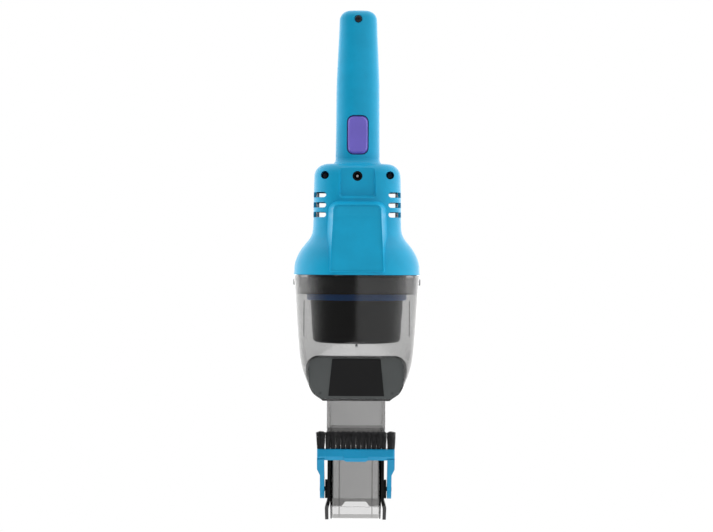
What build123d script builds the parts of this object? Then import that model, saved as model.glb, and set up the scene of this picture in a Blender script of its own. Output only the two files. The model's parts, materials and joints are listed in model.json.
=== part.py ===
from build123d import *
import os
from math import copysign, cos, pi, radians, sin, tan

# Cordless handheld vacuum: handle at the top, motor housing, clear dust bowl, nozzle at the bottom.
# While modelling, X is across, -Y is the underside, +Z runs up the handle, and the body's long axis
# is x = 0, y = 0. The height z = 0 is the middle of the charging socket. At the end every piece
# moves back by socket_depth, which puts the origin at the mouth of the socket in the recess floor.

# ---- Driving dimensions, mm ----
wall = 2.4                 # casing wall
seam = 0.24                # gap along the parting line of the two casing shells
socket_depth = 29.5        # recess floor, measured from the body's axis

handle_top = 145.8
handle_crown = 8.0         # rounding of the handle's end
shoulder_z = 11.2
shoulder_radius = 10.5
housing_bottom = -85.0

level_pitch = 6.0          # spacing of the level ovals that the smooth forms run through

# Level ovals down the handle and the housing: height, width, depth, squareness.
handle_sections = [
    (handle_top, 32.4, 31.4, 2.8),
    (125.0, 33.8, 32.6, 2.7),
    (106.0, 35.6, 34.0, 2.6),
    (78.0, 37.7, 35.6, 2.6),
    (40.0, 38.2, 36.2, 2.6),
    (8.0, 38.8, 37.0, 2.6),
]
foot_sections = [
    (shoulder_z + 6.0, 38.4, 36.6, 2.6),
    (shoulder_z + 3.0, 39.6, 38.0, 2.6),
    (shoulder_z + 1.0, 42.4, 40.6, 2.6),
    (shoulder_z - 0.6, 47.0, 45.0, 2.6),
]
neck_sections = [
    (shoulder_z, 74.4, 62.4, 3.2),
    (0.0, 75.6, 63.6, 3.2),
    (-20.0, 76.5, 65.2, 3.2),
    (-40.0, 77.0, 67.6, 3.1),
    (-48.0, 78.4, 70.4, 3.0),
    (-55.0, 85.2, 76.4, 2.9),
    (-61.0, 95.0, 84.8, 2.8),
    (-67.0, 102.6, 91.4, 2.7),
    (-75.0, 108.6, 97.0, 2.6),
    (housing_bottom, 111.0, 99.4, 2.6),
]

# Recess with the charging socket
recess_mouth = (33.8, 30.2, -4.5)      # width, height, middle height
recess_floor = (28.8, 26.4, -3.8)
shelf_top = 10.6
shelf_height = 34.0
shelf_back_y = -18.8
socket_hole_r = 4.3
socket_pin_r = 1.0
socket_pin_root_r = 0.8
socket_bore_r = 2.85
socket_length = 10.0

# Casing screws
screw_places = [(0.0, 137.4), (-28.1, 0.9), (28.1, 0.9)]
screw_hole_r = 3.55
screw_boss_r = 5.2
screw_shank_r = 1.5
screw_seat_y = -14.0

# Side vents
vent_heights = [-15.4, -24.2, -32.6]
vent_height = 4.5
vent_lean = 1.3            # degrees, rising towards the back
vent_inner_x = 26.9
vent_outer_x = 33.9
vent_wrap_y = -8.0         # how far the front slots run round the side

# Rest pad on the underside, measured where its sides leave the plane y = pad_base_y
pad_base_y = -26.0
pad_base_top = -19.8
pad_base_bottom = -89.6
pad_top_half = 25.4
pad_bottom_half = 30.6
pad_top_corner = 10.5
pad_bottom_corner = 8.6
pad_draft = 17.0
pad_head_y = -42.0
pad_crease_y = -45.6
pad_crease = -35.0
pad_foot_y = -49.5
panel_border = 0.7
panel_depth = 0.5

# Power button
button_x = 17.2
button_z = 32.7
button_middle = 36.4
button_corner = 5.2
button_gap = 0.9
button_back_y = -13.0
button_rise = 5.6
button_bevel = 1.7
button_dish_r = 150.0
button_dish = 0.7

# Dust bowl
bowl_top = -85.4
bowl_wall = 2.0
mouth_top = -155.6
mouth_corner = 8.8
bowl_bottom = -194.8
bowl_sections = [
    (bowl_top, 110.8, 99.2, 2.6),
    (-104.0, 108.2, 96.6, 2.6),
    (-125.0, 105.6, 93.0, 2.6),
    (-143.0, 102.8, 88.0, 2.9),
    (-156.0, 99.8, 81.0, 3.6),
    (-167.0, 95.0, 73.0, 4.4),
    (-177.0, 87.6, 64.0, 5.2),
    (-185.0, 79.8, 56.0, 6.0),
    (-190.6, 71.4, 49.0, 6.4),
    (bowl_bottom, 59.6, 40.0, 6.4),
]
mouth_half = 40.8
mouth_lean = 24.3          # lean of the mouth's face from upright, degrees
mouth_foot_y = -14.65      # the mouth's face where it meets the nozzle
nose_thickness = 2.4
shelf_z = -101.6           # shelf inside the bowl that carries the filter collar
skirt_wall = 1.5           # clear skirt of the filter carrier, inside the bowl's rim
nose_inset = 1.0
rib_x = 44.0
catch_out = 55.7

# Filter
cup_top_r = 42.0
cup_bottom_r = 38.6
cup_top = -87.3
cup_bottom = -144.0
cup_wall = 1.4
collar_r = 42.6

# Nozzle
tube_width = 51.2
tube_depth = 25.0
tube_wall = 1.8
tube_corner = 6.0
tube_top = -186.5
tube_step = -236.0
tip_width = 44.4
tip_depth = 22.0
tip_front = -286.3
tip_back = -302.2
liner_top = -218.5         # a second wall inside the lower part of the wide tube
liner_wall = 1.2
tip_rib_x = 14.5
tip_rib = 1.6
tip_lip = 1.1
rail_inner = 22.3
rail_outer = 24.7

# Flip-up brush
pivot_z = -273.2
pivot_y = -1.0
pivot_pin_r = 2.0
disc_r = 8.3
disc_outer = 26.8
arm_inner = 27.4
arm_outer = 31.2
bar_top = -235.9
bar_bottom = -245.8
bar_half = 33.7
bar_lip = -242.2           # where the front turns back into the lower lip
bar_lip_back = 3.0
bar_bump = 1.3
bar_front = -22.4
bar_back = -14.2
tuft_y = (bar_front + bar_back) / 2
bristle_top = -220.7
tufts = 12
tuft_pitch = 4.4
tuft_size = (3.9, 5.0, 1.6)
end_tuft_size = (6.4, 5.0, 1.6)
end_tuft_x = 30.5
tuft_hole = 3.0

# Drive
motor_r = 18.0
motor_top = -16.0
motor_bottom = -60.0
shaft_r = 1.58
impeller_r = 41.0
impeller_top = -66.0
impeller_bottom = -76.0
cell_r = 9.15
cell_length = 65.0
cell_y = 3.6

# Inlet duct and flap
duct_top = -163.0
duct_half_x = 27.75
duct_half_y = 14.65
duct_wall = 1.8
flap_pin_r = 1.0
flap_pin_y = 14.0
flap_pin_z = -160.6


# ---- Shape helpers ----
def oval(width, depth, power, z, points=20):
    """A level closed curve, between an ellipse (power 2) and a rounded rectangle."""
    outline = []
    for step in range(points):
        turn = 2 * pi * step / points
        across = copysign(abs(cos(turn)) ** (2 / power), cos(turn)) * width / 2
        deep = copysign(abs(sin(turn)) ** (2 / power), sin(turn)) * depth / 2
        outline.append((across, deep, z))
    return Face(Wire([Spline(*outline, periodic=True)]))


def slopes(heights, values):
    """Slope at each listed height, flat where the value turns, so that nothing overshoots."""
    steps = []
    for place in range(len(heights) - 1):
        steps.append((values[place + 1] - values[place]) / (heights[place + 1] - heights[place]))
    inner = []
    for before, after in zip(steps, steps[1:]):
        inner.append(2 * before * after / (before + after) if before * after > 0 else 0.0)
    return [steps[0], *inner, steps[-1]]


def eased(heights, values, z):
    """The value at height z, on a smooth curve through the listed ones."""
    rates = slopes(heights, values)
    place = 0
    while place < len(heights) - 2 and z < heights[place + 1]:
        place += 1
    span = heights[place + 1] - heights[place]
    part = (z - heights[place]) / span
    start = values[place] * (2 * part**3 - 3 * part**2 + 1)
    end = values[place + 1] * (3 * part**2 - 2 * part**3)
    lean = rates[place] * (part**3 - 2 * part**2 + part) + rates[place + 1] * (part**3 - part**2)
    return start + end + lean * span


def stack(sections, inset=0.0):
    """A smooth solid through the listed ovals, each drawn in by inset."""
    heights, widths, depths, powers = zip(*sections)
    levels = max(2, round((heights[0] - heights[-1]) / level_pitch))
    faces = []
    for step in range(levels + 1):
        z = heights[0] + (heights[-1] - heights[0]) * step / levels
        width = eased(heights, widths, z) - 2 * inset
        depth = eased(heights, depths, z) - 2 * inset
        faces.append(oval(width, depth, eased(heights, powers, z), z))
    return loft(faces)


def end_plug(section, inset, height):
    """Carries an open end of a stack on by height, upwards or downwards."""
    z, width, depth, power = section
    return extrude(oval(width - 2 * inset, depth - 2 * inset, power, z), height, dir=(0, 0, 1))


def block(x, y, z):
    """A box from three pairs of limits."""
    size = (abs(x[1] - x[0]), abs(y[1] - y[0]), abs(z[1] - z[0]))
    middle = ((x[0] + x[1]) / 2, (y[0] + y[1]) / 2, (z[0] + z[1]) / 2)
    return Pos(*middle) * Box(*size)


def rod(radius, start, end):
    """A round bar between two points."""
    line = Vector(*end) - Vector(*start)
    plane = Plane(origin=start, z_dir=line)
    return plane * Cylinder(radius, line.length, align=(Align.CENTER, Align.CENTER, Align.MIN))


def tube(outer, inner, start, end):
    return rod(outer, start, end) - rod(inner, start, end)


def upright_block(width, depth, corner, z_low, z_high, y=0.0):
    """A box with rounded upright edges."""
    face = Plane.XY.offset(z_low) * Pos(0, y) * RectangleRounded(width, depth, corner)
    return extrude(face, z_high - z_low)


def front_face(width, height, corner, y, z=0.0):
    """A rounded rectangle facing the underside, at depth y."""
    plane = Plane(origin=(0, y, z), x_dir=(1, 0, 0), z_dir=(0, -1, 0))
    return plane * RectangleRounded(width, height, corner)


def front_plate(points, y_back, y_front):
    """A closed outline of (x, z) points, from depth y_back towards the underside."""
    outline = Polyline(*[(x, y_back, z) for x, z in points], close=True)
    return extrude(Face(Wire([*outline.edges()])), y_back - y_front, dir=(0, -1, 0))


def side_profile(points, half_width):
    """A closed outline of (y, z) points, as thick as twice half_width."""
    outline = Polyline(*[(-half_width, y, z) for y, z in points], close=True)
    return extrude(Face(Wire([*outline.edges()])), 2 * half_width, dir=(1, 0, 0))


def both_sides(piece):
    return [piece, mirror(piece, Plane.YZ)]


def save(name, piece):
    """Moves a piece into the object's frame and writes it."""
    solids = piece if isinstance(piece, list) else [piece]
    bodies = []
    for item in solids:
        bodies.extend(item.solids())
    moved = [Pos(0, socket_depth, 0) * body for body in bodies]
    whole = moved[0] if len(moved) == 1 else Compound(moved)
    os.makedirs("parts", exist_ok=True)
    export_step(whole, f"parts/{name}.step")


# ---- Casing ----
def casing_form(inset):
    """Handle, its flared foot, and the motor housing as one solid, drawn in by inset."""
    handle = stack(handle_sections, inset) & block((-60, 60), (-60, 60), (-20, handle_top - inset))
    handle = fillet(handle.edges().sort_by(Axis.Z)[-1], handle_crown - inset)
    housing = stack(neck_sections, inset) & block((-60, 60), (-60, 60), (-90, shoulder_z - inset))
    housing = fillet(housing.edges().sort_by(Axis.Z)[-1], shoulder_radius - inset)
    if inset:
        housing = housing + end_plug(neck_sections[-1], inset, -2.0)
    return handle + housing + stack(foot_sections, inset)


def pad_prism(inset):
    """The pad's drafted sides, without its front."""
    outline = Polyline(
        (-pad_bottom_half + inset, pad_base_bottom + inset),
        (pad_bottom_half - inset, pad_base_bottom + inset),
        (pad_top_half - inset, pad_base_top - inset),
        (-pad_top_half + inset, pad_base_top - inset),
        close=True,
    )
    face = Face(Wire([*outline.edges()]))
    face = fillet(face.vertices().group_by(Axis.Y)[-1], pad_top_corner - inset)
    face = fillet(face.vertices().group_by(Axis.Y)[0], pad_bottom_corner - inset)
    plane = Plane(origin=(0, pad_base_y, 0), x_dir=(1, 0, 0), z_dir=(0, -1, 0))
    return extrude(plane * face, 26.0, taper=pad_draft)


def pad_backing(inset):
    """Everything behind the pad's front, which slopes back above its crease."""
    points = [
        (0, pad_base_top + 5),
        (pad_head_y + inset, pad_base_top + 5),
        (pad_head_y + inset, pad_base_top),
        (pad_crease_y + inset, pad_crease),
        (pad_foot_y + inset, housing_bottom - 0.01),
        (0, housing_bottom - 0.01),
    ]
    return side_profile(points, 60)


def pad_form(inset):
    return pad_prism(inset) & pad_backing(inset)


def shelf_block():
    """The thick block behind the recess, with room in it for the socket."""
    middle = shelf_top - shelf_height / 2
    face = front_face(recess_mouth[0] - 0.2, shelf_height, 3.0, shelf_back_y, middle)
    within = casing_form(wall / 2) + pad_form(wall / 2)
    shelf = extrude(face, 40) & within
    return shelf - block((-14.6, 14.6), (-12, -socket_depth + wall), (-19.6, shelf_top - wall))


def panel_cutter():
    """What the pad's flat panel is sunk by, inside its rim."""
    return pad_prism(panel_border) - pad_backing(panel_depth)


def recess_cutter():
    floor = front_face(recess_floor[0], recess_floor[1], 2.2, -socket_depth, recess_floor[2])
    mouth = front_face(recess_mouth[0], recess_mouth[1], 3.4, -33.2, recess_mouth[2])
    return loft([floor, mouth]) + extrude(mouth, 10)


def vent_cutters():
    """Slots near the sides that rise a little towards the back; in front they run round the side."""
    cutters = []
    half = vent_height / 2
    for z in vent_heights:
        for side in (-1, 1):
            end = side * (vent_inner_x + half)
            slot = rod(half, (end, -60, 0), (end, 60, 0))
            slot = slot + block((end, side * vent_outer_x), (-60, 60), (-half, half))
            wrap = (side * (vent_outer_x - 0.5), side * 45)
            slot = slot + block(wrap, (-60, vent_wrap_y), (-half, half))
            cutters.append(Pos(0, 0, z) * Rot(vent_lean, 0, 0) * slot)
    return cutters


def button_opening():
    return extrude(front_face(button_x + 2 * button_gap, button_z + 2 * button_gap,
                              button_corner + button_gap, -8, button_middle), 30)


def screw_boss(x, z, y_from, y_to, outer):
    return rod(screw_boss_r, (x, y_from, z), (x, y_to, z)) & outer


def casing_shells():
    outer = casing_form(0.0) + pad_form(0.0)
    shell = outer - (casing_form(wall) + pad_form(wall))
    underside = shell & block((-90, 90), (-90, -seam / 2), (-120, 160))
    top = shell & block((-90, 90), (seam / 2, 90), (-120, 160))
    underside = underside + shelf_block() - panel_cutter()
    for cutter in vent_cutters():
        underside = underside - cutter
        top = top - cutter
    for x, z in screw_places:
        underside = underside + screw_boss(x, z, -40, -seam / 2, outer)
        top = top + screw_boss(x, z, seam / 2, 40, outer)
    for x, z in screw_places:
        underside = underside - rod(screw_hole_r, (x, -50, z), (x, screw_seat_y, z))
        underside = underside - rod(screw_shank_r + 0.25, (x, -50, z), (x, 1, z))
        top = top - rod(screw_shank_r, (x, -1, z), (x, 9, z))
    underside = underside - recess_cutter() - button_opening()
    underside = underside - rod(socket_hole_r, (0, -40, 0), (0, -20, 0))
    save("underside_shell", underside)
    save("top_shell", top)


def housing_screws():
    screws = []
    for x, z in screw_places:
        shank = rod(screw_shank_r, (x, screw_seat_y - 0.01, z), (x, 8.5, z))
        head = rod(2.8, (x, screw_seat_y - 2.2, z), (x, screw_seat_y, z))
        head = fillet(head.edges().sort_by(Axis.Y)[0], 0.9)
        cross = block((x - 1.7, x + 1.7), (screw_seat_y - 3, screw_seat_y - 1.1), (z - 0.35, z + 0.35))
        cross = cross + block((x - 0.35, x + 0.35), (screw_seat_y - 3, screw_seat_y - 1.1),
                              (z - 1.7, z + 1.7))
        screws.append(shank + head - cross)
    save("housing_screws", screws)



# ---- Power button and electrics ----
def power_button():
    """The cap that shows, with a shallow dish for the thumb, and the flange that keeps it in."""
    cap = extrude(front_face(button_x, button_z, button_corner, button_back_y, button_middle), button_rise)
    cap = chamfer(cap.edges().group_by(Axis.Y)[0], button_bevel)
    dish_y = button_back_y - button_rise - button_dish_r + button_dish
    dish = rod(button_dish_r, (-button_x, dish_y, button_middle), (button_x, dish_y, button_middle))
    flange = front_face(button_x + 4, button_z + 4, button_corner, button_back_y + 0.6, button_middle)
    save("power_button", cap - dish + extrude(flange, 0.9))


def control_electronics():
    """Board along the handle's foot, the switch behind the button, and the charging socket."""
    save("control_board", block((-11, 11), (-7.4, -5.8), (-6, 60)))
    low, high = button_middle - 6.4, button_middle + 6.4
    switch = block((-3.2, 3.2), (-7.4, -10.2), (low, high))
    well = block((-1.2, 1.2), (-7.8, -11), (button_middle - 1.8, button_middle + 1.8))
    save("power_switch", switch - well)
    plunger = block((-0.9, 0.9), (-9.9, -12.4), (button_middle - 1.5, button_middle + 1.5))
    save("switch_plunger", plunger)
    back = -socket_depth + wall
    socket = block((-5.5, 5.5), (-14, back), (-5, 5))
    socket = socket + rod(socket_hole_r - 0.1, (0, back + 1, 0), (0, -socket_depth + 0.2, 0))
    bore_end = -socket_depth + 0.2 + socket_length
    socket = socket - rod(socket_bore_r, (0, -40, 0), (0, bore_end, 0))
    socket = socket - rod(socket_pin_root_r, (0, -40, 0), (0, bore_end + 2, 0))
    for x in (-3, 0, 3):
        socket = socket + rod(0.5, (x, -15, -3), (x, -7.4, -3))
    save("charging_socket", socket)
    pin = rod(socket_pin_root_r, (0, bore_end + 2, 0), (0, bore_end - 1, 0))
    save("socket_pin", pin + rod(socket_pin_r, (0, bore_end - 0.3, 0), (0, -socket_depth + 1.2, 0)))


def cell(bottom):
    """One round cell with its raised cap and end groove."""
    can = rod(cell_r, (0, cell_y, bottom), (0, cell_y, bottom + cell_length - 0.8))
    can = fillet(can.edges().group_by(Axis.Z)[0], 0.8)
    cap = rod(3.2, (0, cell_y, bottom + cell_length - 1.2), (0, cell_y, bottom + cell_length))
    return can + cap


def lead(points, radius):
    """An insulated wire along straight runs with round corners."""
    wire = Sphere(radius).moved(Location(points[0]))
    for start, end in zip(points, points[1:]):
        wire = wire + rod(radius, start, end) + Sphere(radius).moved(Location(end))
    return wire


def battery():
    lower, middle, upper = -2.0, 63.0, 64.5
    save("battery_cell_lower", cell(lower))
    save("battery_cell_upper", cell(upper))
    top = upper + cell_length
    tabs = []
    for z_low, z_high in ((lower - 0.3, lower), (middle, upper), (top, top + 0.3)):
        tabs.append(block((-3, 3), (cell_y - 6, cell_y + 6), (z_low, z_high)))
    save("battery_tabs", tabs)
    cradle = block((-11.6, -9.4), (-3, 9), (lower - 2, top + 2))
    cradle = cradle + mirror(cradle, Plane.YZ)
    for z_low, z_high in ((lower - 2, lower - 0.3), (top + 0.3, top + 2)):
        cradle = cradle + block((-11.6, 11.6), (-3, 9), (z_low, z_high))
    save("battery_cradle", cradle)
    red = [(12.8, 0, top - 4), (12.8, 0, 66), (12.8, -6.6, 62.5), (9.5, -6.6, 61.0)]
    black = [(-x, y, z) for x, y, z in red]
    save("battery_leads", [lead(red, 0.9), lead(black, 0.9)])
    red = [(7, -6.6, -7.2), (7, -3, -10.0), (7, 0, -10.0)]
    black = [(-x, y, z) for x, y, z in red]
    save("motor_leads", [lead(red, 0.8), lead(black, 0.8)])


# ---- Motor, fan and bulkhead ----
def motor():
    bush_length = 4.0
    can = tube(motor_r, motor_r - 1.2, (0, 0, motor_bottom), (0, 0, motor_top))
    can = can + rod(motor_r, (0, 0, motor_bottom), (0, 0, motor_bottom + 1.4))
    can = can + rod(6.0, (0, 0, motor_bottom - 2.8), (0, 0, motor_bottom))
    can = can - rod(3.4, (0, 0, motor_bottom - 4), (0, 0, motor_bottom + 4))
    for x in (-8.5, 8.5):
        can = can - rod(1.25, (x, 0, motor_bottom - 1), (x, 0, motor_bottom + 3))
    save("motor_can", can)
    cap_high = motor_top + 5.0
    cap = rod(motor_r, (0, 0, motor_top), (0, 0, cap_high))
    cap = fillet(cap.edges().group_by(Axis.Z)[-1], 1.5)
    cap = cap - rod(3.4, (0, 0, motor_top - 1), (0, 0, cap_high + 1))
    brushes = []
    for side in (-1, 1):
        brushes.append(block((side * 4.7, side * 9.5), (-2, 2), (motor_top - 5, motor_top - 1)))
        holder = block((side * 6.0, side * 12), (-3.2, 3.2), (motor_top - 6.2, motor_top + 0.5))
        cap = cap + (holder - brushes[-1])
    save("motor_end_cap", cap)
    save("motor_brushes", brushes)
    upper = tube(3.4, shaft_r + 0.04, (0, 0, cap_high - bush_length), (0, 0, cap_high))
    low = motor_bottom - 2.8
    lower = tube(3.4, shaft_r + 0.04, (0, 0, low), (0, 0, low + bush_length))
    save("motor_bushes", [upper, lower])
    magnets = []
    for side in (-1, 1):
        arc = tube(motor_r - 1.2, 13.4, (0, 0, motor_bottom + 4), (0, 0, motor_top - 8))
        magnets.append(arc & block((-11, 11), (side * 5, side * 20), (-80, 0)))
    save("motor_magnets", magnets)


def rotor():
    shaft = rod(shaft_r, (0, 0, impeller_bottom + 1), (0, 0, motor_top + 7))
    save("motor_shaft", shaft)
    low, high = motor_bottom + 7, motor_top - 11
    core = rod(12.6, (0, 0, low), (0, 0, high))
    slots = 5
    for step in range(slots):
        turn = 360 * step / slots
        slot = block((8.4, 14), (-0.9, 0.9), (-80, 0)) + block((4.6, 8.6), (-2.2, 2.2), (-80, 0))
        core = core - Rot(0, 0, turn) * slot
    save("armature_core", core - rod(shaft_r, (0, 0, -80), (0, 0, 0)))
    coils = tube(10.6, 3.2, (0, 0, low - 2.6), (0, 0, low))
    coils = fillet(coils.edges().group_by(Axis.Z)[0], 1.0)
    upper = tube(10.6, 3.2, (0, 0, high), (0, 0, high + 2.6))
    upper = fillet(upper.edges().group_by(Axis.Z)[-1], 1.0)
    save("armature_windings", [coils, upper])
    segments = tube(4.5, shaft_r, (0, 0, motor_top - 6), (0, 0, motor_top - 0.6))
    save("commutator", segments)


def impeller():
    plate = rod(impeller_r, (0, 0, impeller_top - 1.4), (0, 0, impeller_top))
    hub = rod(6.2, (0, 0, impeller_bottom + 1.6), (0, 0, impeller_top))
    wheel = plate + hub
    blades = 9
    for step in range(blades):
        turn = 360 * step / blades
        arc = Pos(0, 28, 0) * tube(28.0, 26.8, (0, 0, impeller_bottom), (0, 0, impeller_top - 1))
        blade = arc & tube(impeller_r - 0.6, 13.5, (0, 0, -90), (0, 0, -60))
        blade = blade & block((0, 60), (-10, 60), (-90, -60))
        wheel = wheel + Rot(0, 0, turn) * blade
    insert_r = 3.2
    wheel = wheel - rod(insert_r, (0, 0, -90), (0, 0, -60))
    save("impeller", wheel)
    insert = tube(insert_r, shaft_r, (0, 0, impeller_bottom + 1.6), (0, 0, impeller_top))
    save("impeller_insert", insert)


def fan_posts(radius, z_low, z_high):
    """Four posts that join the fan cover to the bulkhead, outside the impeller."""
    posts = []
    for x in (-40.5, 40.5):
        for y in (-21.5, 21.5):
            posts.append(rod(radius, (x, y, z_low), (x, y, z_high)))
    return posts


def fan_housing():
    cavity = stack(neck_sections, wall + 0.25)
    notches = []
    for side in (-1, 1):
        notches.append(block((side * 48.6, side * 60), (-5, 5), (-90, -78)))
    plate = cavity & block((-60, 60), (-60, 60), (-63, -60))
    cup = tube(motor_r + 2.2, motor_r + 0.15, (0, 0, -61), (0, 0, -48))
    bulkhead = plate + cup
    for post in fan_posts(3.2, -79, -62):
        bulkhead = bulkhead + (post & cavity)
    for post in fan_posts(1.2, -80, -68):
        bulkhead = bulkhead - post
    bulkhead = bulkhead - rod(6.1, (0, 0, -65), (0, 0, -59))
    for x in (-8.5, 8.5):
        bulkhead = bulkhead - rod(1.7, (x, 0, -65), (x, 0, -59))
    windows = 10
    for step in range(windows):
        turn = 360 * (step + 0.5) / windows
        bulkhead = bulkhead - Rot(0, 0, turn) * rod(5.0, (30, 0, -65), (30, 0, -59))
    save("motor_bulkhead", bulkhead)

    screws = []
    for x in (-8.5, 8.5):
        screws.append(rod(1.25, (x, 0, -63), (x, 0, -58.8)) + rod(2.4, (x, 0, -64.4), (x, 0, -63)))
    save("motor_screws", screws)

    cover = cavity & block((-60, 60), (-60, 60), (-81.4, -79))
    cover = cover + rod(19.0, (0, 0, -80), (0, 0, -77.4))
    cover = cover - rod(16.5, (0, 0, -90), (0, 0, -70))
    for radius in (4.0, 8.4, 12.8):
        cover = cover + tube(radius, radius - 1.4, (0, 0, -81.4), (0, 0, -79.4))
    for turn in (0, 60, 120):
        cover = cover + Rot(0, 0, turn) * block((-17, 17), (-0.8, 0.8), (-81.4, -79.4))
    for post in fan_posts(1.5, -90, -70):
        cover = cover - post
    for notch in notches:
        cover = cover - notch
    save("fan_cover", cover)

    screws = []
    for head, shank in zip(fan_posts(2.6, -82.8, -81.4), fan_posts(1.2, -81.5, -70)):
        screws.append(head + shank)
    save("fan_cover_screws", screws)

    seal_drop = -0.35
    seal = cavity & block((-60, 60), (-60, 60), (-90, -81.4))
    seal = seal + end_plug(neck_sections[-1], wall + 0.25, seal_drop)
    seal = seal - stack(neck_sections, wall + 5.0)
    seal = seal - end_plug(neck_sections[-1], wall + 5.0, 2 * seal_drop)
    for notch in notches:
        seal = seal - notch
    save("housing_seal", seal)


# ---- Dust bowl ----
def mouth_face_y(z):
    """Depth of the mouth's leaning face at height z."""
    return mouth_foot_y - tan(radians(mouth_lean)) * (z - bowl_bottom)


def mouth_slab(front, back, z_high=-150.0):
    """A leaning slab between two offsets from the mouth's face, measured along Y."""
    low = bowl_bottom - 6
    return side_profile(
        [
            (mouth_face_y(low) + front, low),
            (mouth_face_y(low) + back, low),
            (mouth_face_y(z_high) + back, z_high),
            (mouth_face_y(z_high) + front, z_high),
        ],
        60,
    )


def mouth_outline(grow):
    """The mouth as a rounded opening in the front view, as deep as the whole bowl."""
    height = 60.0
    middle = mouth_top - height / 2 + grow
    width = 2 * (mouth_half + grow)
    return extrude(front_face(width, height, mouth_corner + grow, 0, middle), 60)


def dust_bowl():
    outer = stack(bowl_sections)
    inside = stack(bowl_sections, bowl_wall)
    above_floor = block((-60, 60), (-60, 60), (bowl_bottom + bowl_wall, bowl_top + 5))
    inner = (inside & above_floor) + end_plug(bowl_sections[0], bowl_wall, 1.0)
    pocket = mouth_slab(-60, 0) & mouth_outline(0)
    rim = mouth_slab(-60, 0.8) & (mouth_outline(1.6) - mouth_outline(0)) & outer
    bowl = (outer - inner) + rim - pocket
    ribs = stack(bowl_sections, bowl_wall - 0.5) - stack(bowl_sections, bowl_wall + 1.4)
    for side in (-1, 1):
        bowl = bowl + (ribs & block((side * rib_x, side * (rib_x + 0.8)), (-40, 0), (-138, -107)))
    duct_room = block((-duct_half_x, duct_half_x), (-duct_half_y, duct_half_y), (-200, -180))
    bowl = bowl - duct_room
    for side in (-1, 1):
        bowl = bowl - block((side * 50, side * 60), (-5.6, 5.6), (-95.4, -88.0))
    room = stack(bowl_sections, nose_inset) & above_floor
    nose = mouth_slab(0, nose_thickness, mouth_top + 1.6) & mouth_outline(1.6)
    nose = (nose & room) - duct_room - rim
    save("dust_bowl", bowl - nose)
    panel_points = [(-24.2, -190.3), (24.2, -190.3), (20.7, -157.1), (-20.7, -157.1)]
    panel_block = front_plate(panel_points, 0, -60)
    panel = panel_block & mouth_slab(-0.5, 1.4)
    nose = nose - (panel_block & mouth_slab(-1, 1.4))
    for side in (-1, 1):
        pip_z = -188.0
        pip_y = mouth_face_y(pip_z)
        nose = nose + rod(0.9, (side * 31.3, pip_y + 1, pip_z), (side * 31.3, pip_y - 0.7, pip_z))
    save("nose_frame", nose)
    save("nose_panel", panel - duct_room)


def inlet_duct():
    duct = block((-duct_half_x, duct_half_x), (-duct_half_y, duct_half_y), (bowl_bottom, duct_top))
    wide, deep = duct_half_x - duct_wall, duct_half_y - duct_wall
    duct = duct - block((-wide, wide), (-deep, deep), (bowl_bottom - 1, duct_top + 1))
    for side in (-1, 1):
        ear = block((side * 26.9, side * 29.0), (flap_pin_y - 2, flap_pin_y + 2),
                    (duct_top - 3, flap_pin_z + 2))
        duct = duct + ear
    duct = duct - rod(flap_pin_r, (-40, flap_pin_y, flap_pin_z), (40, flap_pin_y, flap_pin_z))
    save("inlet_duct", duct)
    pin = rod(flap_pin_r, (-29, flap_pin_y, flap_pin_z), (29, flap_pin_y, flap_pin_z))
    save("flap_pin", pin)
    low = flap_pin_z - 2.0
    flap = block((-26.5, 26.5), (-13, flap_pin_y), (low, low + 1.2))
    flap = flap + rod(2.0, (-26.5, flap_pin_y, flap_pin_z), (26.5, flap_pin_y, flap_pin_z))
    flap = flap - rod(flap_pin_r + 0.06, (-30, flap_pin_y, flap_pin_z), (30, flap_pin_y, flap_pin_z))
    save("inlet_flap", flap)


def filter_carrier():
    """Clear shelf and collar that hold the filter in the bowl, and the blue ring under them."""
    room = stack(bowl_sections, bowl_wall + 0.1)
    shelf = room & block((-60, 60), (-60, 60), (shelf_z, shelf_z + 1.6))
    collar = rod(collar_r + 1.3, (0, 0, shelf_z), (0, 0, cup_top - 0.2))
    skirt = room - stack(bowl_sections, bowl_wall + skirt_wall)
    skirt = skirt & block((-60, 60), (-60, 60), (shelf_z, cup_top))
    for side in (-1, 1):
        skirt = skirt - block((side * 48, side * 60), (-6, 6), (shelf_z + 1.6, cup_top + 1))
    carrier = shelf + skirt + collar - rod(collar_r, (0, 0, -110), (0, 0, -80))
    save("filter_carrier", carrier)
    ring = tube(collar_r + 1.3, collar_r - 0.2, (0, 0, shelf_z - 5.4), (0, 0, shelf_z))
    save("filter_ring", fillet(ring.edges().group_by(Axis.Z)[0], 0.5))


def bowl_catches():
    for name, side in (("left_catch", -1), ("right_catch", 1)):
        pad = block((side * 51.0, side * catch_out), (-5, 5), (-94.4, -88.4))
        pad = fillet(pad.edges().group_by(Axis.X)[0 if side < 0 else -1], 1.4)
        arm = block((side * 50.2, side * 51.6), (-4, 4), (-96.4, -80.2))
        hook = block((side * 50.2, side * 52.2), (-4, 4), (-82.0, -80.2))
        save(name, pad + arm + hook)


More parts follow.
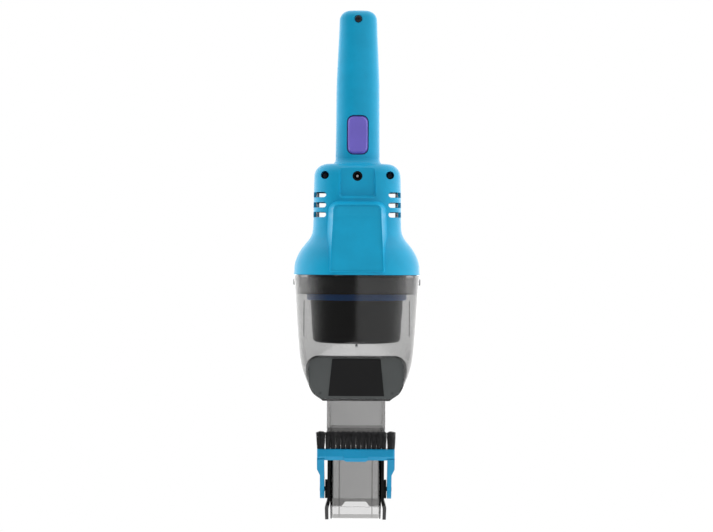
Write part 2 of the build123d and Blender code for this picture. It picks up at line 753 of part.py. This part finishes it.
# ---- Filter ----
def filter_parts():
    def cup_form(shrink, extra):
        height = cup_top - cup_bottom - shrink
        form = Pos(0, 0, cup_bottom + shrink) * Cone(
            cup_bottom_r - shrink, cup_top_r - shrink, height + extra,
            align=(Align.CENTER, Align.CENTER, Align.MIN))
        return fillet(form.edges().group_by(Axis.Z)[0], 4.0 - shrink)

    cup = cup_form(0, 0) - cup_form(cup_wall, 2)
    cup = cup + rod(1.0, (0, 0, cup_bottom - 4.2), (0, 0, cup_bottom + 1))
    save("filter_cup", cup)
    frame = tube(collar_r + 1.2, 29.0, (0, 0, cup_top), (0, 0, cup_top + 1.6))
    grip = block((-29.5, 29.5), (-2.5, 2.5), (cup_top, cup_top + 1.6))
    save("filter_frame", frame + grip)

    def star(outer_r, inner_r, z_low, z_high):
        pleats = 36
        points = []
        for step in range(2 * pleats):
            radius = outer_r if step % 2 == 0 else inner_r
            turn = pi * step / pleats
            points.append((radius * cos(turn), radius * sin(turn), z_low))
        outline = Polyline(*points, close=True)
        return extrude(Face(Wire([*outline.edges()])), z_high - z_low)

    low = -137.0
    cloth = star(35.0, 31.0, low, cup_top) - star(34.2, 30.2, low - 1, cup_top + 1)
    base = rod(36.0, (0, 0, low - 1.6), (0, 0, low))
    save("pleated_filter", cloth)
    save("filter_base", base)


# ---- Nozzle ----
def slanted_end(piece):
    """Cuts the nozzle's end on the slant, shorter on the underside."""
    front = -tip_depth / 2 - 0.5
    back = tip_depth / 2 - 0.5
    waste = side_profile(
        [
            (-40, tip_front),
            (front, tip_front),
            (back, tip_back),
            (40, tip_back),
            (40, tip_back - 30),
            (-40, tip_front - 30),
        ],
        60,
    )
    return piece - waste


def nozzle_tube():
    def channel(shrink, extra):
        upper = upright_block(tube_width - 2 * shrink, tube_depth - 2 * shrink,
                              tube_corner - shrink, tube_step - extra, tube_top + extra)
        lower = upright_block(tip_width - 2 * shrink, tip_depth - 2 * shrink, 3.0 - shrink * 0.9,
                              tip_back - 1 - extra, tube_step, -0.5)
        return upper + lower

    shell = channel(0, 0) - channel(tube_wall, 1)
    wide, deep = tube_width - 2 * tube_wall, tube_depth - 2 * tube_wall
    liner = upright_block(wide, deep, tube_corner - tube_wall, tube_step, liner_top)
    liner = liner - upright_block(wide - 2 * liner_wall, deep - 2 * liner_wall,
                                  tube_corner - tube_wall - liner_wall, tube_step - 1, liner_top + 1)
    step_plate = upright_block(tube_width, tube_depth, tube_corner, tube_step, tube_step + tube_wall)
    hole = upright_block(tip_width - 2 * tube_wall, tip_depth - 2 * tube_wall, 1.4,
                         tube_step - 2, tube_step + 3, -0.5)
    shell = shell + liner + step_plate - hole
    front = -tip_depth / 2 - 0.5 + tube_wall
    back = tip_depth / 2 - 0.5 - tube_wall
    lip_half = tip_width / 2 - tube_wall - 0.5
    front_lip = ((front - 0.2, front + tip_lip), (tip_front - 5, tip_front + 6))
    back_lip = ((back - tip_lip, back + 0.2), (tip_back - 5, tip_back + 5))
    for y, z in (front_lip, back_lip):
        shell = shell + block((-lip_half, lip_half), y, z)
    for x in (-tip_rib_x, tip_rib_x):
        shell = shell + block((x - 0.5, x + 0.5), (back - tip_rib, back + 0.2), (tip_back, tube_step - 6))
    shell = slanted_end(shell)
    notch = [(-12.6, tip_front - 1), (12.6, tip_front - 1), (9.0, tip_front + 3.6),
             (-9.0, tip_front + 3.6)]
    shell = shell - front_plate(notch, -8, -28)
    save("nozzle_tube", shell)


def nozzle_rails():
    outline = [
        (rail_inner, -246),
        (rail_outer, -246),
        (rail_outer, -281.5),
        (26.9, -289),
        (26.9, tip_back),
        (23.9, tip_back),
        (23.9, -290.5),
        (rail_inner, -283.5),
    ]
    rail = front_plate(outline, tip_depth / 2 - 0.5, -tip_depth / 2 - 0.5)
    save("nozzle_rails", both_sides(slanted_end(rail)))


def pivot_discs():
    """Toothed detent discs on the rails, each with the trunnion that an arm turns on."""
    disc = rod(disc_r - 0.8, (rail_outer, pivot_y, pivot_z), (disc_outer, pivot_y, pivot_z))
    teeth = 20
    for step in range(teeth):
        turn = 2 * pi * step / teeth
        y = pivot_y + (disc_r - 0.8) * cos(turn)
        z = pivot_z + (disc_r - 0.8) * sin(turn)
        disc = disc + rod(0.8, (rail_outer, y, z), (disc_outer, y, z))
    pin = rod(pivot_pin_r, (disc_outer - 1, pivot_y, pivot_z), (arm_outer + 0.3, pivot_y, pivot_z))
    save("pivot_discs", both_sides(disc + pin))


# ---- Flip-up brush ----
def bar_profile(drop):
    """The brush bar from the side: flat front, and a lip that turns back under it."""
    points = [
        (bar_back, bar_top - drop),
        (bar_front + 0.8, bar_top - drop),
        (bar_front, bar_top - 0.8 - drop),
        (bar_front, bar_lip - drop),
        (bar_front + bar_lip_back, bar_bottom - drop),
        (bar_back, bar_bottom - drop),
    ]
    return side_profile(points, bar_half)


def brush_carrier():
    bar_depth = bar_back - bar_front
    plan = upright_block(2 * bar_half, bar_depth, 2.4, bar_bottom - 2, bar_top, tuft_y)
    bump = [(-10.4, bar_top - 3), (10.4, bar_top - 3), (10.4, bar_bottom), (7.2, bar_bottom - 2),
            (-7.2, bar_bottom - 2), (-10.4, bar_bottom)]
    carrier = (bar_profile(0) & plan) + (bar_profile(bar_bump) & front_plate(bump, 0, -30))
    arm_points = [
        (bar_front + 1.4, bar_bottom + 1),
        (bar_back, bar_bottom + 1),
        (pivot_y + 7.6, pivot_z + 3.4),
        (pivot_y - 6.4, pivot_z - 5.2),
    ]
    arm = side_profile(arm_points, 60) + rod(8.4, (-60, pivot_y, pivot_z), (60, pivot_y, pivot_z))
    for side in (-1, 1):
        carrier = carrier + (arm & block((side * arm_inner, side * arm_outer), (-40, 40), (-290, -230)))
        inner_x, outer_x = side * (arm_outer - 0.5), side * bar_half
        corners = [(inner_x, -236), (outer_x, -236), (outer_x, -254), (inner_x, -260.5)]
        flange = front_plate(corners, 0, -40)
        carrier = carrier + (side_profile(arm_points, 60) & flange)
    carrier = carrier - rod(pivot_pin_r + 0.06, (-60, pivot_y, pivot_z), (60, pivot_y, pivot_z))
    for tuft in middle_tufts() + end_tufts():
        carrier = carrier - tuft
    save("brush_carrier", carrier)


def tuft(x, size):
    """One tuft as a plain block, from the bottom of its hole to the tips."""
    width, depth, corner = size
    return Pos(x, 0, 0) * upright_block(width, depth, corner, bar_top - tuft_hole, bristle_top, tuft_y)


def middle_tufts():
    places = [tuft_pitch * (step - (tufts - 1) / 2) for step in range(tufts)]
    return [tuft(x, tuft_size) for x in places]


def end_tufts():
    return [tuft(x, end_tuft_size) for x in (-end_tuft_x, end_tuft_x)]


casing_shells()
housing_screws()
power_button()
control_electronics()
battery()
motor()
rotor()
impeller()
fan_housing()
dust_bowl()
inlet_duct()
filter_carrier()
bowl_catches()
filter_parts()
nozzle_tube()
nozzle_rails()
pivot_discs()
brush_carrier()
save("middle_bristles", middle_tufts())
save("end_bristles", end_tufts())
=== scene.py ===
import json
import random
from math import cos, pi, radians, sin

import bmesh
import bpy
from mathutils import Matrix, Vector


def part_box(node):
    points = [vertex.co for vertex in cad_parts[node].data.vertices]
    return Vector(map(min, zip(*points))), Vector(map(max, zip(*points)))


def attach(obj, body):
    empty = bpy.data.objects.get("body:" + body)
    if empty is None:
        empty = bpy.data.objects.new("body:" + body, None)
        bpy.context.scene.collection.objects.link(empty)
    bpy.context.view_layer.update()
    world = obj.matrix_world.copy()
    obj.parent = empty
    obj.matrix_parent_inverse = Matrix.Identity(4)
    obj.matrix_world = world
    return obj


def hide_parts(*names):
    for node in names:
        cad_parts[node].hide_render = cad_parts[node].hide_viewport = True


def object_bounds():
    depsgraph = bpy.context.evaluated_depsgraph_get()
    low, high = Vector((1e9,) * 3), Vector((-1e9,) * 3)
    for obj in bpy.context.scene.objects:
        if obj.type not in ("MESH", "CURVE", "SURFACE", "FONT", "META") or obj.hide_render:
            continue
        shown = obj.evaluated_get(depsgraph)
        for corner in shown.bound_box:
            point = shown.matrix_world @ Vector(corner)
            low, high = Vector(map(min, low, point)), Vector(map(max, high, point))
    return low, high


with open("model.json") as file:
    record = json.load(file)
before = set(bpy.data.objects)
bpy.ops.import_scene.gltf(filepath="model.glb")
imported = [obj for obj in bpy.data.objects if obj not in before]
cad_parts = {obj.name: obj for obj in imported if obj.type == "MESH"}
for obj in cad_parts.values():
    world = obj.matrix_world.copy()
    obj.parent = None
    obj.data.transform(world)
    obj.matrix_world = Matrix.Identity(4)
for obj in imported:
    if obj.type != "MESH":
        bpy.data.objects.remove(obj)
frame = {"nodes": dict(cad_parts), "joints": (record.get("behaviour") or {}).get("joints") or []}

# Everything is in metres, in the object's frame: -Y is the underside, +Z runs up the handle.
cad_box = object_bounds()
mm = 0.001
nodes = frame["nodes"]
body_y = sum(corner.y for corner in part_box("motor_shaft")) / 2
bowl_travel = max(joint["range_m"][1] for joint in frame["joints"] if joint["name"] == "bowl_slide")


def shade(red, green, blue):
    """A colour from display values, 0 to 255, as the linear values that a shader takes."""
    linear = []
    for value in (red, green, blue):
        part = value / 255
        linear.append(part / 12.92 if part <= 0.04045 else ((part + 0.055) / 1.055) ** 2.4)
    return (*linear, 1.0)


def scaled(colour, factor):
    return (*(min(1.0, part * factor) for part in colour[:3]), 1.0)


# ---- Node graphs ----
class Graph:
    """Builds a shader. An input may be a number, a colour, or another node's output."""

    def __init__(self, tree):
        tree.nodes.clear()
        self.tree = tree

    def add(self, kind, inputs, **settings):
        node = self.tree.nodes.new(kind)
        for name, value in settings.items():
            setattr(node, name, value)
        for name, value in inputs.items():
            if isinstance(value, bpy.types.NodeSocket):
                self.tree.links.new(value, node.inputs[name])
            else:
                node.inputs[name].default_value = value
        return node

    def place(self):
        return self.add("ShaderNodeTexCoord", {}).outputs["Object"]

    def stretched(self, scale, turn=(0, 0, 0)):
        """The object's own coordinates, turned and then scaled on each axis."""
        node = self.add("ShaderNodeMapping", {"Vector": self.place(), "Rotation": turn, "Scale": scale})
        return node.outputs["Vector"]

    def noise(self, size, detail=2.0, roughness=0.5, vector=None):
        """Noise with features of about the given size in metres."""
        inputs = {
            "Vector": vector or self.place(),
            "Scale": 1 / size,
            "Detail": detail,
            "Roughness": roughness,
        }
        return self.add("ShaderNodeTexNoise", inputs).outputs["Fac"]

    def cells(self, size, feature="F1"):
        inputs = {"Vector": self.place(), "Scale": 1 / size}
        return self.add("ShaderNodeTexVoronoi", inputs, feature=feature).outputs["Distance"]

    def spread(self, value, low, high, to_low=0.0, to_high=1.0):
        """Takes low..high to to_low..to_high, smoothly, and holds the ends."""
        inputs = {"Value": value, "From Min": low, "From Max": high, "To Min": to_low, "To Max": to_high}
        return self.add("ShaderNodeMapRange", inputs, interpolation_type="SMOOTHSTEP").outputs["Result"]

    def math(self, operation, first, second):
        node = self.add("ShaderNodeMath", {}, operation=operation)
        for socket, value in zip(node.inputs, (first, second)):
            if isinstance(value, bpy.types.NodeSocket):
                self.tree.links.new(value, socket)
            else:
                socket.default_value = value
        return node.outputs["Value"]

    def blend(self, factor, first, second):
        """A colour between two colours."""
        node = self.add("ShaderNodeMix", {}, data_type="RGBA")
        colour_sockets = [s for s in node.inputs if s.type == "RGBA"]
        for socket, value in zip([node.inputs[0], *colour_sockets], (factor, first, second)):
            if isinstance(value, bpy.types.NodeSocket):
                self.tree.links.new(value, socket)
            else:
                socket.default_value = value
        return next(s for s in node.outputs if s.type == "RGBA")

    def bump(self, height, depth, under=None):
        """Relief of the given depth in metres, over another relief if there is one."""
        inputs = {"Height": height, "Distance": depth, "Strength": 1.0}
        if under is not None:
            inputs["Normal"] = under
        return self.add("ShaderNodeBump", inputs).outputs["Normal"]

    def edges(self, width):
        """1 on edges, 0 on open faces: the mask for rubbed wear and for a painted edge highlight."""
        rounded = self.add("ShaderNodeBevel", {"Radius": width}, samples=4).outputs["Normal"]
        flat = self.add("ShaderNodeNewGeometry", {}).outputs["Normal"]
        node = self.add("ShaderNodeVectorMath", {}, operation="DOT_PRODUCT")
        self.tree.links.new(rounded, node.inputs[0])
        self.tree.links.new(flat, node.inputs[1])
        return self.spread(node.outputs["Value"], 0.995, 0.86)

    def finish(self, inputs, volume=None):
        shader = self.add("ShaderNodeBsdfPrincipled", inputs)
        output = self.add("ShaderNodeOutputMaterial", {"Surface": shader.outputs["BSDF"]})
        if volume is not None:
            self.tree.links.new(volume, output.inputs["Volume"])


def material(name):
    made = bpy.data.materials.new(name)
    made.use_nodes = True
    return made, Graph(made.node_tree)


# ---- Materials ----
def moulded(name, colour, roughness, grain=0.35 * mm, relief=0.006 * mm, specular=0.5, rubbed_and_highlight=1.12):
    """Moulded plastic: spark-eroded grain, faint flow clouds, fine scratches, and edges lightened in
    colour, partly as rubbed wear and partly as a painted highlight.
    """
    made, graph = material(name)
    clouds = graph.noise(28 * mm, 3.0)
    fine = graph.noise(2.2 * mm, 4.0, 0.6)
    eroded = graph.noise(grain, 2.0, 0.55)
    scratch_field = graph.noise(1.0, 2.0, 0.6, graph.stretched((90, 90, 1600), (0.3, 0.9, 0.2)))
    scratches = graph.spread(scratch_field, 0.66, 0.72)
    tone = graph.blend(graph.spread(clouds, 0.3, 0.7), scaled(colour, 0.94), scaled(colour, 1.05))
    flecks = graph.math("MULTIPLY", graph.spread(fine, 0.35, 0.75), 0.10)
    tone = graph.blend(flecks, tone, scaled(colour, 1.25))
    # Edges painted lighter: partly rubbed wear, partly a painted highlight along rims and bevels.
    rubbed_and_highlit = graph.edges(0.5 * mm)
    tone = graph.blend(graph.math("MULTIPLY", rubbed_and_highlit, 0.5), tone, scaled(colour, rubbed_and_highlight))
    rough = graph.spread(fine, 0.25, 0.8, roughness - 0.05, roughness + 0.07)
    rough = graph.math("ADD", rough, graph.math("MULTIPLY", scratches, 0.05))
    rough = graph.math("SUBTRACT", rough, graph.math("MULTIPLY", rubbed_and_highlit, 0.06))
    relief_normal = graph.bump(eroded, relief)
    relief_normal = graph.bump(scratches, -0.004 * mm, relief_normal)
    graph.finish(
        {
            "Base Color": tone,
            "Roughness": rough,
            "Normal": relief_normal,
            "Specular IOR Level": specular,
        }
    )
    return made


def smoked(name, density):
    """Smoked polycarbonate: dark by its own thickness, with faint moulding waves and handling marks."""
    made, graph = material(name)
    waves = graph.noise(9 * mm, 1.0, 0.4)
    specks = graph.noise(0.8 * mm, 2.0, 0.5)
    hairs = graph.noise(1.0, 2.0, 0.6, graph.stretched((60, 60, 1300), (0.1, 1.1, 0.4)))
    hairlines = graph.spread(hairs, 0.68, 0.73)
    smudges = graph.spread(graph.noise(14 * mm, 3.0, 0.6), 0.45, 0.8)
    rough = graph.spread(specks, 0.3, 0.8, 0.012, 0.035)
    rough = graph.math("ADD", rough, graph.math("MULTIPLY", smudges, 0.05))
    rough = graph.math("ADD", rough, graph.math("MULTIPLY", hairlines, 0.05))
    normal = graph.bump(waves, 0.02 * mm)
    normal = graph.bump(hairlines, -0.003 * mm, normal)
    tint = graph.blend(smudges, (0.97, 0.975, 0.98, 1.0), (0.93, 0.935, 0.94, 1.0))
    soak = {"Color": (0.02, 0.01, 0.0, 1.0), "Density": density}
    soaked = graph.add("ShaderNodeVolumeAbsorption", soak)
    graph.finish(
        {
            "Base Color": tint,
            "Roughness": rough,
            "Normal": normal,
            "IOR": 1.5,
            "Transmission Weight": 1.0,
        },
        soaked.outputs["Volume"],
    )
    return made


def rubber(name, colour):
    made, graph = material(name)
    pores = graph.noise(0.5 * mm, 3.0, 0.6)
    bloom = graph.spread(graph.noise(7 * mm, 3.0), 0.35, 0.75)
    tone = graph.blend(bloom, colour, scaled(colour, 1.7))
    normal = graph.bump(pores, 0.02 * mm)
    rough = graph.spread(pores, 0.3, 0.8, 0.55, 0.8)
    graph.finish({"Base Color": tone, "Roughness": rough, "Normal": normal, "Specular IOR Level": 0.35})
    return made


def metal(name, colour, roughness, brush=(40, 40, 2600), tarnish=0.75):
    """Drawn or turned metal: fine lines, uneven polish and a little tarnish."""
    made, graph = material(name)
    lines = graph.noise(1.0, 3.0, 0.6, graph.stretched(brush))
    spots = graph.spread(graph.noise(2.5 * mm, 4.0, 0.6), 0.5, 0.8)
    tone = graph.blend(graph.math("MULTIPLY", spots, 0.6), colour, scaled(colour, tarnish))
    rough = graph.spread(lines, 0.3, 0.7, roughness - 0.07, roughness + 0.1)
    normal = graph.bump(lines, 0.004 * mm)
    graph.finish({"Base Color": tone, "Roughness": rough, "Normal": normal, "Metallic": 1.0})
    return made


def grained(name, colour, grain, depth, roughness, lighter=1.6):
    """Pressed or woven stuff: a clear grain in both colour and relief."""
    made, graph = material(name)
    lumps = graph.cells(grain)
    clouds = graph.noise(6 * mm, 3.0)
    tone = graph.blend(graph.spread(lumps, 0.1, 0.8), scaled(colour, lighter), colour)
    soiled = graph.math("MULTIPLY", graph.spread(clouds, 0.4, 0.8), 0.3)
    tone = graph.blend(soiled, tone, scaled(colour, 0.7))
    normal = graph.bump(lumps, -depth)
    rough = graph.spread(clouds, 0.2, 0.8, roughness, roughness + 0.15)
    graph.finish({"Base Color": tone, "Roughness": rough, "Normal": normal, "Specular IOR Level": 0.35})
    return made


def board_green():
    """Solder mask over copper tracks, which show as slightly lighter and raised."""
    made, graph = material("board_green")
    tracks = graph.cells(2.4 * mm, "DISTANCE_TO_EDGE")
    raised = graph.spread(tracks, 0.16, 0.10)
    tone = graph.blend(raised, shade(18, 78, 46), shade(34, 116, 66))
    normal = graph.bump(raised, 0.03 * mm)
    rough = graph.spread(graph.noise(3 * mm), 0.3, 0.7, 0.25, 0.4)
    graph.finish({"Base Color": tone, "Roughness": rough, "Normal": normal})
    return made


def bristle_black():
    """Nylon filament, a little lighter and rougher where it is scuffed."""
    made, graph = material("bristle_black")
    along = graph.noise(1.0, 2.0, 0.5, graph.stretched((1500, 1500, 220)))
    tone = graph.blend(graph.spread(along, 0.3, 0.75), shade(26, 26, 28), shade(62, 62, 64))
    normal = graph.bump(along, 0.01 * mm)
    rough = graph.spread(along, 0.3, 0.8, 0.34, 0.5)
    graph.finish({"Base Color": tone, "Roughness": rough, "Normal": normal})
    return made


materials = {
    "casing_blue": moulded("casing_blue", shade(16, 156, 198), 0.36, specular=0.25),
    "button_purple": moulded("button_purple", shade(112, 98, 196), 0.42),
    "brush_blue": moulded(
        "brush_blue", shade(0, 134, 178), 0.40, grain=0.5 * mm, relief=0.004 * mm, specular=0.3
    ),
    "ring_blue": moulded("ring_blue", shade(0, 104, 190), 0.36),
    "smoke_clear": smoked("smoke_clear", 300.0),
    "smoke_tube": smoked("smoke_tube", 460.0),
    # The black plastic gets the strongest edge lightening: partly rubbed wear, partly a painted
    # highlight.
    "black_plastic": moulded("black_plastic", shade(14, 14, 15), 0.36, specular=0.1, rubbed_and_highlight=1.8),
    "dark_grey_plastic": moulded("dark_grey_plastic", shade(68, 71, 71), 0.45, specular=0.2),
    "catch_grey": moulded("catch_grey", shade(120, 121, 122), 0.42),
    "white_plastic": moulded("white_plastic", shade(226, 226, 222), 0.40),
    "cell_wrap": moulded("cell_wrap", shade(60, 140, 84), 0.28, grain=1.2 * mm, relief=0.01 * mm),
    "wire_insulation": moulded("wire_insulation", shade(160, 30, 28), 0.45),
    "black_rubber": rubber("black_rubber", shade(26, 26, 27)),
    "bristle_black": bristle_black(),
    "steel": metal("steel", shade(196, 197, 200), 0.30),
    "black_screw": metal("black_screw", shade(58, 58, 62), 0.38),
    "brass": metal("brass", shade(226, 196, 124), 0.28),
    "copper": metal("copper", shade(206, 130, 92), 0.30, (40, 40, 3600)),
    "ferrite": grained("ferrite", shade(66, 66, 70), 0.25 * mm, 0.02 * mm, 0.6),
    "carbon": grained("carbon", shade(44, 44, 46), 0.2 * mm, 0.02 * mm, 0.5),
    "filter_cloth": grained("filter_cloth", shade(196, 196, 188), 0.22 * mm, 0.05 * mm, 0.8, 1.15),
    "board_green": board_green(),
}


def dress_cad():
    """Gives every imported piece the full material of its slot."""
    for node in nodes.values():
        for place in node.material_slots:
            place.material = materials[place.material.name.split(".")[0]]


# ---- Bristles ----
def add_fibre(mesh, root, tip, bow, radius):
    """A thin three-sided filament from root to tip, bowed sideways and narrower at the end."""
    stations = 5
    sides = 3
    rings = []
    for station in range(stations):
        along = station / (stations - 1)
        centre = root.lerp(tip, along) + bow * (4 * along * (1 - along))
        size = radius * (1 - 0.35 * along)
        ring = []
        for side in range(sides):
            turn = 2 * pi * side / sides
            ring.append(mesh.verts.new(centre + Vector((cos(turn), sin(turn), 0)) * size))
        rings.append(ring)
    for lower, upper in zip(rings, rings[1:]):
        for side in range(sides):
            after = (side + 1) % sides
            mesh.faces.new((lower[side], lower[after], upper[after], upper[side]))
    mesh.faces.new(list(reversed(rings[0])))
    mesh.faces.new(rings[-1])


def tuft_boxes(node, count, width):
    """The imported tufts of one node, evenly spaced, as (low corner, high corner) pairs."""
    low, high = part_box(node)
    pitch = (high.x - low.x - width) / (count - 1)
    boxes = []
    for step in range(count):
        left = low.x + pitch * step
        boxes.append((Vector((left, low.y, low.z)), Vector((left + width, high.y, high.z))))
    return boxes


def bristle_piece(name, node, count, width, fibres, splay, fuzz, seed):
    """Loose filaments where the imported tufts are, fanned out towards their tips."""
    filament_r = 0.13 * mm
    dome_drop = 1.0 * mm
    uneven = 0.7
    draw = random.Random(seed)
    mesh = bmesh.new()
    for low, high in tuft_boxes(node, count, width):
        middle = (low + high) / 2
        half = (high - low) / 2
        for _ in range(fibres):
            turn = draw.uniform(0, 2 * pi)
            reach = draw.random() ** 0.5
            across, deep = reach * cos(turn), reach * sin(turn)
            root_x = middle.x + across * half.x * 0.9
            root_y = middle.y + deep * half.y * 0.88
            root = Vector((root_x, root_y, low.z + 0.2 * mm))
            dome = dome_drop * across * across
            tip = Vector(
                (
                    middle.x + across * (half.x + splay) + draw.gauss(0, fuzz),
                    middle.y + deep * (half.y + splay * 0.6) + draw.gauss(0, fuzz),
                    high.z - dome - draw.uniform(0, uneven) * mm,
                )
            )
            bow = Vector((draw.gauss(0, fuzz * 0.7), draw.gauss(0, fuzz * 0.7), 0))
            add_fibre(mesh, root, tip, bow, filament_r)
    data = bpy.data.meshes.new(name)
    mesh.to_mesh(data)
    mesh.free()
    for face in data.polygons:
        face.use_smooth = True
    piece = bpy.data.objects.new(name, data)
    bpy.context.scene.collection.objects.link(piece)
    data.materials.append(materials["bristle_black"])
    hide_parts(node)
    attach(piece, "brush")


# ---- Studio ----
def studio_floor():
    """A pale round floor, lower than the bowl reaches when it is slid off."""
    radius = 0.8
    clearance = 0.04
    height = cad_box[0].z - bowl_travel - clearance
    mesh = bmesh.new()
    bmesh.ops.create_circle(mesh, cap_ends=True, radius=radius, segments=96)
    bmesh.ops.translate(mesh, verts=mesh.verts, vec=(0, body_y, height))
    data = bpy.data.meshes.new("studio_floor")
    mesh.to_mesh(data)
    mesh.free()
    floor = bpy.data.objects.new("studio_floor", data)
    bpy.context.scene.collection.objects.link(floor)
    made, graph = material("studio_floor")
    mottle = graph.noise(0.3, 2.0)
    tone = graph.blend(mottle, (0.90, 0.90, 0.90, 1.0), (0.94, 0.94, 0.94, 1.0))
    graph.finish(
        {
            "Base Color": tone,
            "Roughness": 0.9,
            "Specular IOR Level": 0.1,
            "Emission Color": (1.0, 1.0, 1.0, 1.0),
            "Emission Strength": 0.22,
        }
    )
    data.materials.append(made)


def studio_light():
    """Soft white light from the sides and behind, weak from the front and weakest front left."""
    front_left = 0.18
    front_right = 0.80
    full = 1.8
    white = (1.0, 1.0, 1.0, 1.0)
    world = bpy.data.worlds.new("studio")
    bpy.context.scene.world = world
    world.use_nodes = True
    graph = Graph(world.node_tree)
    direction = graph.add("ShaderNodeTexCoord", {}).outputs["Generated"]
    parts = graph.add("ShaderNodeSeparateXYZ", {"Vector": direction}).outputs
    front = graph.spread(parts["X"], -0.03, 0.03, front_left, front_right)
    around = graph.spread(parts["Y"], -0.86, 0.0)
    gap = graph.math("SUBTRACT", full, front)
    strength = graph.math("ADD", front, graph.math("MULTIPLY", around, gap))
    soft = graph.add("ShaderNodeBackground", {"Color": white, "Strength": strength})
    plain = graph.add("ShaderNodeBackground", {"Color": white, "Strength": 1.0})
    seen = graph.add("ShaderNodeLightPath", {}).outputs["Is Camera Ray"]
    both = graph.add("ShaderNodeMixShader", {"Fac": seen})
    graph.tree.links.new(soft.outputs["Background"], both.inputs[1])
    graph.tree.links.new(plain.outputs["Background"], both.inputs[2])
    graph.add("ShaderNodeOutputWorld", {"Surface": both.outputs["Shader"]})
    bpy.context.scene.view_settings.view_transform = "Standard"


def camera():
    """Square on to the underside, level, a little below the housing, and tilted a hair."""
    distance = 1.3
    picture_width = 0.627
    aim = Vector((-0.0004, body_y, -0.0774))
    tilt = radians(0.34)
    data = bpy.data.cameras.new("camera")
    data.sensor_width = 36.0
    data.lens = data.sensor_width * distance / picture_width
    eye = bpy.data.objects.new("camera", data)
    bpy.context.scene.collection.objects.link(eye)
    eye.matrix_world = (
        Matrix.Translation(aim - Vector((0, distance, 0)))
        @ Matrix.Rotation(-tilt, 4, "Y")
        @ Matrix.Rotation(pi / 2, 4, "X")
    )
    bpy.context.scene.camera = eye


camera()
studio_light()
studio_floor()
dress_cad()
bristle_piece("middle_tufts", "middle_bristles", 12, 3.9 * mm, 150, 0.42 * mm, 0.13 * mm, 11)
bristle_piece("end_tufts", "end_bristles", 2, 6.4 * mm, 300, 0.7 * mm, 0.35 * mm, 12)
